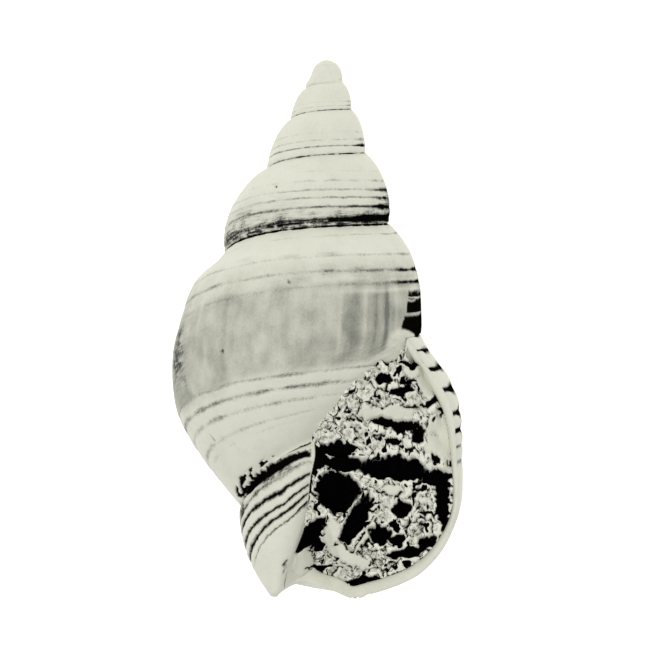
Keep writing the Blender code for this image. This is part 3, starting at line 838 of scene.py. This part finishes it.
def outside_sheet(name, table, turns, lines):
    """The outside of the whorls, over the rows that a table of grooves covers."""
    turn, line = np.meshgrid(turns, lines, indexing="ij")
    row = follow_grooves(table, np.maximum(turns, first_edge(0.0)), lines)
    turn = np.maximum(turn, first_edge(row))
    points = outside(turn, row)
    beside_lip = (turn > LIP_ANGLE - 30.0) | ((turn < MOUTH_START + 20.0) & (turn > MOUTH_START - 60.0))
    marks = carve(table, turn, line, row, hump(points) * beside_lip)
    marks["height"] = marks["height"] * ease((turn + 1500.0) / 300.0)
    marks["young"] = 1.0 * (turn < THINNED_BEFORE)
    return sheet_of(name, round_tip(points), marks, (straight_growth(turn, row), row))


def make_shell():
    """The whole shell in one closed piece, before it is laid down."""
    turns = LIP_ANGLE - TURN / COLUMNS * np.arange(round(TURNS * COLUMNS), -1, -1)
    shell = weld([outside_sheet("side", SIDE_GROOVES, turns, SIDE_LINES),
                  outside_sheet("base", BASE_GROOVES, turns[-COLUMNS - 1:], BASE_LINES),
                  lip_sheet(), pillar_sheet(), apex_sheet(turns[0])], "whelk_shell")
    raise_by(shell, mark_values(shell, "height"))
    thin_out(shell, mark_values(shell, "young") > 0.5, SHELL_TRIANGLES)
    for mark in ("height", "young"):
        shell.data.attributes.remove(shell.data.attributes[mark])
    return shell


# ---------------------------------------------------------------- the stone
STONE_COLUMNS, STONE_LINES = 236, 396
STONE_FOOT = 13.6
# How many degrees behind the lip the stone's face and each loop behind it lie.
STONE_DEPTHS = (2.4, 8.0, 16.0, 26.0)
VIEW_TILT, VIEW_PITCH = math.radians(3.4), math.radians(7.5)
# How far the stone spreads over the edge of the whorl, in degrees, at these rows.
SPILL = ((5.0, 5.6, 6.6, 8.0, 9.6, 10.6, 11.4, 12.9, 13.3, 14.0),
         (2.0, 3.5, 5.0, 5.5, 5.0, 1.0, -0.6, -0.6, 7.0, 7.0))
# Deep hollows in the broken face, each painted black as shadow: x, distance from the apex, half width, half
# height, tilt in degrees, and depth, all in mm in the shell's own frame.
HOLLOWS = [
    (9.8, 44.4, 0.9, 0.6, 0, 1.2),
    (12.5, 40.7, 1.8, 0.5, 66, 1.6),
    (12.4, 42.4, 1.2, 0.25, 12, 0.8),
    (12.9, 44.6, 1.0, 0.25, -8, 0.8),
    (11.9, 45.9, 1.5, 0.45, 0, 1.2),
    (15.8, 47.1, 1.3, 0.35, -20, 0.8),
    (11.7, 50.2, 3.1, 0.7, 4, 2.2),
    (14.4, 51.5, 0.7, 1.1, 0, 2.0),
    (11.5, 52.4, 1.1, 0.5, -15, 1.4),
    (4.3, 53.7, 2.3, 0.8, 0, 1.6),
    (5.1, 55.5, 2.3, 1.1, 0, 2.6),
    (4.5, 59.4, 2.7, 2.5, 0, 3.2),
    (11.6, 55.9, 4.4, 1.4, 0, 2.8),
    (17.0, 56.8, 1.9, 1.2, 0, 2.2),
    (17.2, 54.5, 0.7, 0.4, 40, 0.9),
    (18.3, 60.2, 0.8, 3.9, -8, 2.4),
    (16.3, 65.4, 1.9, 0.7, -45, 2.0),
    (7.2, 62.9, 3.5, 1.1, -62, 3.0),
    (12.9, 61.1, 1.2, 1.1, 0, 2.4),
    (10.4, 64.5, 1.4, 1.2, 0, 2.4),
    (12.6, 65.2, 1.0, 0.8, 20, 1.6),
    (1.3, 65.1, 2.9, 0.95, -56, 2.2),
    (13.9, 66.8, 2.1, 0.7, -15, 1.8),
    (8.4, 70.9, 2.6, 0.55, -10, 1.5),
    (2.6, 66.3, 0.9, 0.8, 0, 1.4),
    (2.8, 69.4, 1.7, 0.3, -4, 0.8),
]
# Smooth pale chunks of shell in the stone, in the same terms, with their rise in mm.
CHUNKS = [
    (4.3, 64.8, 1.0, 1.9, 0, 0.5),
    (6.6, 67.9, 2.9, 0.9, 24, 0.5),
    (11.5, 58.7, 1.2, 0.8, 0, 0.6),
    (13.1, 43.4, 1.2, 0.75, 0, 0.5),
    (10.4, 48.9, 3.8, 0.7, -4, 0.3),
    (17.6, 51.7, 2.3, 2.7, 0, 0.1),
    (15.8, 43.4, 1.9, 2.8, 0, 0.1),
    (11.0, 39.7, 2.2, 1.0, 0, 0.2),
    (18.6, 55.6, 1.4, 0.5, 0, 0.3),
    (8.5, 64.9, 3.3, 0.35, -62, 0.7),
    (6.5, 60.4, 1.8, 0.3, -70, 0.5),
    (0.8, 68.9, 1.2, 1.7, 0, 0.3),
]


# Flakes of the broken face: key, size, rise and the depth of the cracks round them, in mm.
FLAKES = [(621, 1.7, 0.45, 0.4), (622, 0.85, 0.27, 0.26), (623, 0.42, 0.14, 0.15)]
WORM_DEPTH, HOLE_DEPTH = 0.25, 0.30


def inside_spot(x, w, spot, soft):
    """1 inside an ellipse and 0 outside it, over a soft edge."""
    middle_x, middle_w, half_x, half_w, tilt = spot[:5]
    a = math.radians(tilt)
    along = (x - middle_x) * math.cos(a) + (w - middle_w) * math.sin(a)
    across = (w - middle_w) * math.cos(a) - (x - middle_x) * math.sin(a)
    return ease((1.0 - np.hypot(along / half_x, across / half_w)) / soft + 0.5)


def broken_face(x, w, inward, smooth):
    """Height in mm of the broken stone at each place, its painted shade in hollows, cracks and pits, how
    smooth it is, and its painted highlight on raised grains.
    """
    warped_x = x + 0.32 * patches(601, x, w, 1.1) + 0.26 * patches(602, x, w, 0.42)
    warped_w = w + 0.32 * patches(603, x, w, 1.1) + 0.26 * patches(604, x, w, 0.42)
    chunk = np.max([smooth, *[inside_spot(warped_x, warped_w, spot, 0.3) for spot in CHUNKS]], axis=0)
    chunk_rise = np.max([spot[5] * inside_spot(warped_x, warped_w, spot, 0.3)
                         for spot in CHUNKS], axis=0)
    hollows = [inside_spot(warped_x, warped_w, spot, 0.28) for spot in HOLLOWS]
    sunk = np.max([spot[5] * shape for spot, shape in zip(HOLLOWS, hollows)], axis=0)
    # The hollows are painted black as shadow.
    hollow_shadow = np.max(hollows, axis=0)
    rough = (1.0 - 0.88 * chunk) * (1.0 - smooth)
    height = (0.45 * patches(611, x, w, 3.4) + 0.30 * patches(612, x, w, 1.5)) * (1.0 - smooth)
    crack_shade = np.zeros(x.shape)
    for key, size, rise, gap in FLAKES:
        tilted, border, value = flakes(key, warped_x, warped_w, size)
        crack = (1.0 - ease(border / 0.16)) * ease((value - 0.35) / 0.2)
        height = height + (rise * tilted - gap * crack) * rough
        crack_shade = np.maximum(crack_shade, crack * rough * gap / 0.4)
    worms = 1.0 - ease(np.abs(patches(641, warped_x, warped_w, 0.75)) / 0.16)
    worms = worms * ease((patches(642, x, w, 1.9) + 0.05) / 0.3) * rough
    pits = ease((patches(651, warped_x, warped_w, 0.55) - 0.42) / 0.14) * rough
    height = height - WORM_DEPTH * worms - HOLE_DEPTH * pits + chunk_rise - sunk * inward
    # Painted shade: the stone is painted dark in the black hollows, cracks, worm holes and pits, and
    # wherever it lies below its surroundings.
    cavity_shade = np.clip((blurred(height, 5) - height) / 0.36, 0.0, 1.0)
    dark = np.max([hollow_shadow, 0.6 * crack_shade, 0.9 * worms, pits, cavity_shade ** 1.2], axis=0)
    # Painted highlight: grains that stand above their surroundings are painted lighter.
    proud = np.clip((height - blurred(height, 7)) / 0.3, 0.0, 1.0)
    return blurred(height, 1), dark, chunk, proud


def stone_edge(v, depth, spill):
    """The outer and the inner edge of the stone, so many degrees behind the lip."""
    rows_out, rows_in = STONE_FOOT * v, SEAM_ROW + (STONE_FOOT - SEAM_ROW) * v
    along = np.interp(depth, (STONE_DEPTHS[0], STONE_DEPTHS[-1]), (0.2, 0.9))
    outer = lip_lines(rows_out, np.array([(1.0, depth)]))
    back = depth * ease(v * 8.0)[:, None]
    inner = pillar_lines(rows_in, back)
    blend = ease((v * STONE_FOOT - CANAL_ROW + 0.3) / 0.6)[:, None]
    floor = canal_floor(np.minimum(rows_out, LAST_ROW))
    lip = outside(np.full(v.shape, LIP_ANGLE), rows_out)
    outer = outer[:, 0] * (1 - blend) + (lip + (floor - lip) * along) * blend
    if spill:
        over = np.interp(rows_in, *SPILL)
        inner = outside(MOUTH_START + over, rows_in)
        inner[:, 2] -= 0.35 - 0.25 * ease((rows_in - 12.7) / 0.4)
    else:
        lip = outside(np.full(v.shape, MOUTH_START), rows_in)
        inner = inner[:, 0] * (1 - blend) + (lip + (floor - lip) * along) * blend
        sunk = np.array([0.0, 0.0, 0.6]) * blend
        inner, outer = inner - sunk, outer - sunk
    outer[0] = inner[0] = (outer[0] + inner[0]) / 2.0
    return outer, inner


def make_stone():
    """The stone in the mouth: its broken face, and the sides and foot that hide behind it."""
    v = np.linspace(0.0, 1.0, STONE_LINES)
    u = np.linspace(0.0, 1.0, STONE_COLUMNS)
    outer, inner = stone_edge(v, STONE_DEPTHS[0], True)
    share = u[:, None, None]
    face = inner[None] * (1.0 - share) + outer[None] * share
    grid_u, grid_v = np.meshgrid(u, v, indexing="ij")
    rim = np.minimum.reduce([grid_u / 0.05, (1.0 - grid_u) / 0.04, grid_v / 0.03,
                             (1.0 - grid_v) / 0.03])
    seen_w = -face[..., 1] - math.tan(VIEW_PITCH) * (face[..., 2] - 4.0)
    smooth = ease((STONE_FOOT * grid_v - 12.75) / 0.3)
    height, dark, chunk, proud = broken_face(face[..., 0], seen_w, ease(rim / 1.5), smooth)
    crown = grid_u * (1.0 - grid_u) * ease(5.0 * grid_v) * (2.4 - 1.2 * smooth)
    face[..., 2] += height * (0.4 + 0.6 * ease(rim)) + crown
    parts = [sheet_of("face", face, {"dark": dark, "chunk": chunk, "proud": proud})]
    loops = []
    for depth in STONE_DEPTHS:
        outer, inner = stone_edge(v, depth, False)
        foot = inner[-1] * (1.0 - share[1:-1, 0]) + outer[-1] * share[1:-1, 0]
        loops.append(np.concatenate([inner, foot, outer[::-1]]))
    loops[0] = np.concatenate([face[0], face[1:-1, -1], face[-1, ::-1]])
    skirt = np.stack(loops, axis=1)
    ones = np.ones(skirt.shape[:2])
    # Painted shade: the skirt is hidden behind the face and seen only through its hollows, so it is painted
    # black.
    parts.append(sheet_of("skirt", skirt, {"dark": ones, "chunk": 0 * ones, "proud": 0 * ones}))
    return weld(parts, "sandstone_fill")


# ---------------------------------------------------------------- lying at rest
def rest_turn():
    """How the shell is turned from standing on its axis to lying on its back."""
    pitch = Matrix.Rotation(math.radians(REST_PITCH), 4, "X")
    return Matrix.Rotation(math.radians(REST_ROLL), 4, "Y") @ pitch


def rest_place():
    """The turn and the shift that lay the shell where the frame has it."""
    turns = LIP_ANGLE - 10.0 * np.arange(round(36 * TURNS), -1, -1)
    side = outside(*np.meshgrid(turns, np.linspace(0, SEAM_ROW, 9), indexing="ij"))
    base = outside(*np.meshgrid(turns[-37:], np.linspace(SEAM_ROW, LAST_ROW, 17), indexing="ij"))
    points = np.concatenate([side.reshape(-1, 3), base.reshape(-1, 3)]) * MM
    laid = points @ np.array(rest_turn().to_3x3()).T
    low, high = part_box("shell")
    middle = (laid.min(axis=0) + laid.max(axis=0)) / 2.0
    shift = Vector(((low.x + high.x) / 2 - middle[0], (low.y + high.y) / 2 - middle[1],
                    high.z - laid[:, 2].max()))
    return Matrix.Translation(shift) @ rest_turn()


def lay_down(piece, finish):
    """Lay a piece at rest, with the two spots that it lies on worn flat, and finish it."""
    piece.data.transform(REST)
    points = corners(piece)
    points[:, 2] = np.maximum(points[:, 2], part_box("shell")[0].z)
    piece.data.vertices.foreach_set("co", points.ravel())
    piece.data.update()
    piece.data.shade_smooth()
    piece.data.materials.clear()
    piece.data.materials.append(finish)


REST = rest_place()


# ---------------------------------------------------------------- finishes
# Settings of nodes that come up again and again.
SMOOTH = {"interpolation_type": "SMOOTHSTEP"}
COLOURS = {"data_type": "RGBA"}
MINUS, PLUS, TIMES = [{"operation": kind} for kind in ("SUBTRACT", "ADD", "MULTIPLY")]
CAPPED_PLUS, CAPPED_TIMES = [kind | {"use_clamp": True} for kind in (PLUS, TIMES)]
# The growth map spans a turn of the last whorl and the length of its section, in mm.
GIRTH, SECTION_LENGTH = 117.0, 56.1
# Tones of the shell from clean to dark grey: share and colour.
SHELL_TONES = [(0.0, "#DDDDCE"), (0.25, "#D0D1C1"), (0.5, "#BBBCAD"), (0.75, "#9C9D90"), (1.0, "#70716A")]
# Colours that also serve as painted light and shade: the soil colour darkens the grooves, seams and mouth as
# painted shade, the film colour is partly painted shade, the lightest grain colour is a painted highlight on
# raised grains, and the hollow colour is painted shadow in the stone.
FILM_AND_SHADE_COLOUR, FLECK_COLOUR, SOIL_AND_SHADE_COLOUR = "#7A7B70", "#1E1E1A", "#060605"
GRAIN_SHADOW, GRAIN_LIGHT, GRAIN_HIGHLIGHT_COLOUR, CHUNK_COLOUR = "#A3A497", "#DDDDCF", "#ECECDF", "#D9D9CA"
HOLLOW_SHADE_COLOUR = "#050505"
CARD_COLOUR, CARD_GLOW = "#F6F6F4", 0.55
WHITE = (1.0, 1.0, 1.0, 1.0)


def linear(hex_colour):
    """An sRGB hex colour as linear red, green, blue and alpha."""
    parts = [int(hex_colour[i:i + 2], 16) / 255.0 for i in (1, 3, 5)]
    return tuple(c / 12.92 if c <= 0.04045 else ((c + 0.055) / 1.055) ** 2.4 for c in parts) + (1.0,)


def add(material, kind, settings, inputs, output=0):
    """An output of a new node with its settings and its inputs, named or in order.

    Each input is a value, or another node's output to link.
    """
    node = material.node_tree.nodes.new("ShaderNode" + kind)
    for name, value in settings.items():
        setattr(node, name, value)
    for name, value in inputs.items() if isinstance(inputs, dict) else enumerate(inputs):
        if isinstance(value, bpy.types.NodeSocket):
            material.node_tree.links.new(value, node.inputs[name])
        else:
            node.inputs[name].default_value = value
    return node.outputs[output]


def new_material(name, roughness):
    """A material, its shader, and the function that adds a node to it."""
    material = bpy.data.materials.new(name)
    material.use_nodes = True
    shader = material.node_tree.nodes["Principled BSDF"]
    shader.inputs["Roughness"].default_value = roughness
    shader.inputs["Metallic"].default_value = 0.0
    return material, shader, partial(add, material)


def worn_shell_finish():
    """Calcite shell, weathered in the ground: matt and chalky, with soil and painted shade in every groove.
    """
    material, shader, put = new_material("weathered_chalky_shell", 0.62)
    link = material.node_tree.links.new
    place = put("TexCoord", {}, {}, "Object")
    growth_map = put("UVMap", {"uv_map": "growth"}, {})
    soil, smear, grey = [put("Attribute", {"attribute_name": mark}, {}, "Fac")
                         for mark in ("soil", "smear", "grey")]
    # Chalk grain, specks, mottles and clouds: size in mm, detail and roughness of each.
    grain, speckle, mottle, cloud = [
        put("TexNoise", {}, {"Vector": place, "Scale": 1.0 / (size * MM), "Detail": detail,
                             "Roughness": rough})
        for size, detail, rough in ((0.22, 4.0, 0.6), (0.30, 3.0, 0.7), (2.4, 4.0, 0.6), (9.0, 2.0, 0.5))]
    # Lines of growth are 0.45 mm wide and run on for 5.1 mm; soil and painted shade lie in streaks along the
    # spiral, 3.25 mm long and 0.33 mm wide.
    drawn = [put("Mapping", {}, {"Vector": growth_map,
                                 "Scale": (GIRTH / round_axis, SECTION_LENGTH / down_section, 1.0)})
             for round_axis, down_section in ((0.45, 5.1), (3.25, 0.33))]
    lines, streaks = [put("TexNoise", {}, {"Vector": vector, "Scale": 1.0, "Detail": 3.0, "Roughness": 0.6})
                      for vector in drawn]

    faint_lines = put("MapRange", SMOOTH, (lines, 0.3, 0.7, -0.05, 0.05))
    tone = put("Math", PLUS, (grey, put("Math", TIMES, (grey, faint_lines))))
    for kind, pattern, low, high, least, most in ((PLUS, speckle, 0.3, 0.7, -0.03, 0.05),
                                                  (CAPPED_PLUS, mottle, 0.3, 0.7, -0.05, 0.09),
                                                  (CAPPED_PLUS, cloud, 0.4, 0.7, 0.0, 0.06)):
        tone = put("Math", kind, (tone, put("MapRange", SMOOTH, (pattern, low, high, least, most))))
    bare = put("ValToRGB", {}, (tone,))
    stops = bare.node.color_ramp.elements
    while len(stops) < len(SHELL_TONES):
        stops.new(0.5)
    for stop, (share, colour) in zip(stops, SHELL_TONES):
        stop.position = share
        stop.color = linear(colour)

    # A grey film of soil and painted shade, thicker along the streaks, with dark flecks where it is
    # thickest.
    film_and_shade = put("Math", TIMES, (smear, put("MapRange", SMOOTH, (mottle, 0.35, 0.6, 0.55, 1.1))))
    thick = put("Math", TIMES, (film_and_shade, put("MapRange", SMOOTH, (streaks, 0.35, 0.65, 0.35, 0.95))))
    filmed = put("Mix", COLOURS, {0: put("Math", CAPPED_TIMES, (thick, 0.9)), 6: bare,
                                  7: linear(FILM_AND_SHADE_COLOUR)}, 2)
    ragged = put("Math", PLUS, (put("Math", TIMES, (speckle, 0.3)), put("Math", TIMES, (streaks, 0.7))))
    fleck = put("Math", PLUS, (ragged, put("Math", TIMES, (film_and_shade, 0.30))))
    fleck = put("Math", CAPPED_TIMES, (put("MapRange", SMOOTH, (fleck, 0.66, 0.86, 0.0, 1.0)), film_and_shade))
    flecked = put("Mix", COLOURS, {0: fleck, 6: filmed, 7: linear(FLECK_COLOUR)}, 2)
    # Soil and painted shade packed in the grooves, grainy where it thins out, which takes the sheen away.
    thin = put("Math", TIMES, (soil, put("Math", MINUS, (1.0, soil))))
    grainy = put("Math", TIMES, (thin, put("MapRange", SMOOTH, (speckle, 0.3, 0.7, -0.45, 0.45))))
    packed = put("MapRange", SMOOTH, (put("Math", PLUS, (soil, grainy)), 0.08, 0.86, 0.0, 1.0))
    soiled = put("Mix", COLOURS, {0: packed, 6: flecked, 7: linear(SOIL_AND_SHADE_COLOUR)}, 2)
    link(soiled, shader.inputs["Base Color"])
    link(put("MapRange", SMOOTH, (packed, 0.0, 1.0, 0.3, 0.0)), shader.inputs["Specular IOR Level"])
    chalk = put("Math", PLUS, (put("Math", TIMES, (lines, 0.25)), grain))
    link(put("Bump", {}, {"Height": chalk, "Strength": 0.3, "Distance": 0.07 * MM}), shader.inputs["Normal"])
    return material


def sandstone_finish():
    """Shelly sandstone, broken by hand: pale rough grains, with painted shade in the hollows and painted
    highlights on the raised grains.
    """
    material, shader, put = new_material("broken_shelly_sandstone", 0.85)
    link = material.node_tree.links.new
    place = put("TexCoord", {}, {}, "Object")
    dark, chunk, proud = [put("Attribute", {"attribute_name": mark}, {}, "Fac")
                          for mark in ("dark", "chunk", "proud")]
    # Specks that break up the painted shade, the tooth of the broken face and its grains: size in mm,
    # detail, roughness.
    specks, tooth, grains = [
        put("TexNoise", {}, {"Vector": place, "Scale": 1.0 / (size * MM), "Detail": detail,
                             "Roughness": rough})
        for size, detail, rough in ((0.25, 2.0, 0.6), (0.3, 4.0, 0.7), (0.5, 3.0, 0.7))]
    colour = linear(GRAIN_SHADOW)
    grain_light = put("MapRange", SMOOTH, (grains, 0.38, 0.58, 0.0, 1.0))
    # Grains standing proud get a painted highlight.
    for share, over in ((grain_light, GRAIN_LIGHT), (proud, GRAIN_HIGHLIGHT_COLOUR), (chunk, CHUNK_COLOUR)):
        colour = put("Mix", COLOURS, {0: share, 6: colour, 7: linear(over)}, 2)
    # Painted shade in the hollows, cracks and pits, broken up by specks.
    fine = put("Math", TIMES, (dark, put("MapRange", SMOOTH, (specks, 0.35, 0.65, 0.85, 1.3))))
    shaded = put("MapRange", SMOOTH, (fine, 0.15, 0.8, 0.0, 1.0))
    colour = put("Mix", COLOURS, {0: shaded, 6: colour, 7: linear(HOLLOW_SHADE_COLOUR)}, 2)
    link(colour, shader.inputs["Base Color"])
    link(put("MapRange", SMOOTH, (shaded, 0.0, 1.0, 0.25, 0.0)), shader.inputs["Specular IOR Level"])
    link(put("Bump", {}, {"Height": tooth, "Strength": 0.5, "Distance": 0.12 * MM}), shader.inputs["Normal"])
    return material


def floor_finish():
    """Matt white card, which shows the shell and a faint shadow and nothing else."""
    material, shader, _ = new_material("matt_white_card", 0.9)
    shader.inputs["Base Color"].default_value = linear(CARD_COLOUR)
    shader.inputs["Emission Color"].default_value = WHITE
    shader.inputs["Emission Strength"].default_value = CARD_GLOW
    return material


# ---------------------------------------------------------------- table, light and camera
# The camera's distance in metres, how wide a field it sees, and the point that it looks at,
# in mm to the right of the apex and above it.
CAMERA_DISTANCE, FIELD_WIDTH = 3.0, 85.4 * MM
AIM_RIGHT, AIM_UP = 0.13, -37.69
TABLE_SIZE = 3.0
STUDIO_STRENGTH = 0.5


def to_world(vector):
    """A direction in the shell's own frame as it lies on the table."""
    return rest_turn().to_3x3() @ Vector(vector)


def make_floor():
    """The card that the shell lies on, which is no part of it."""
    bpy.ops.object.select_all(action="DESELECT")
    bpy.ops.mesh.primitive_plane_add(size=TABLE_SIZE)
    floor = bpy.context.active_object
    floor.name = "table"
    floor.data.materials.append(floor_finish())


def make_light(name, direction, distance, size, power):
    """A round soft light, aimed at the shell from a direction in the shell's own frame."""
    light = bpy.data.lights.new(name, "AREA")
    light.shape = "DISK"
    light.size = size
    light.energy = power
    lamp = bpy.data.objects.new(name, light)
    direction = to_world(direction).normalized()
    lamp.location = direction * distance
    lamp.rotation_euler = direction.to_track_quat("Z", "Y").to_euler()
    bpy.context.scene.collection.objects.link(lamp)


def make_camera():
    """A long lens far above the shell, with the apex at the top of the frame."""
    tilt, pitch = VIEW_TILT, VIEW_PITCH
    right = (math.cos(tilt), math.sin(tilt) * math.cos(pitch), math.sin(tilt) * math.sin(pitch))
    up = (-math.sin(tilt), math.cos(tilt) * math.cos(pitch), math.cos(tilt) * math.sin(pitch))
    towards = (0.0, -math.sin(pitch), math.cos(pitch))
    middle = [AIM_RIGHT * r + AIM_UP * u for r, u in zip(right, up)]
    turn = Matrix([to_world(right), to_world(up), to_world(towards)]).transposed().to_4x4()
    camera = bpy.data.cameras.new("camera")
    camera.sensor_width = 36.0
    camera.lens = camera.sensor_width * CAMERA_DISTANCE / FIELD_WIDTH
    camera.clip_end = 20.0
    eye = bpy.data.objects.new("camera", camera)
    target = REST @ Vector([c * MM for c in middle])
    eye.matrix_world = Matrix.Translation(target + to_world(towards) * CAMERA_DISTANCE) @ turn
    bpy.context.scene.collection.objects.link(eye)
    bpy.context.scene.camera = eye


make_camera()
make_floor()
make_light("key", (-0.16, -0.18, 1.0), 0.9, 0.5, 4.0)
world = bpy.data.worlds.new("studio")
world.use_nodes = True
world.node_tree.nodes["Background"].inputs["Color"].default_value = WHITE
world.node_tree.nodes["Background"].inputs["Strength"].default_value = STUDIO_STRENGTH
bpy.context.scene.world = world
bpy.context.scene.view_settings.view_transform = "Standard"

shell = make_shell()
lay_down(shell, worn_shell_finish())
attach(shell, "root")
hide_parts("shell")

stone = make_stone()
lay_down(stone, sandstone_finish())
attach(stone, "root")
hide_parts("matrix")
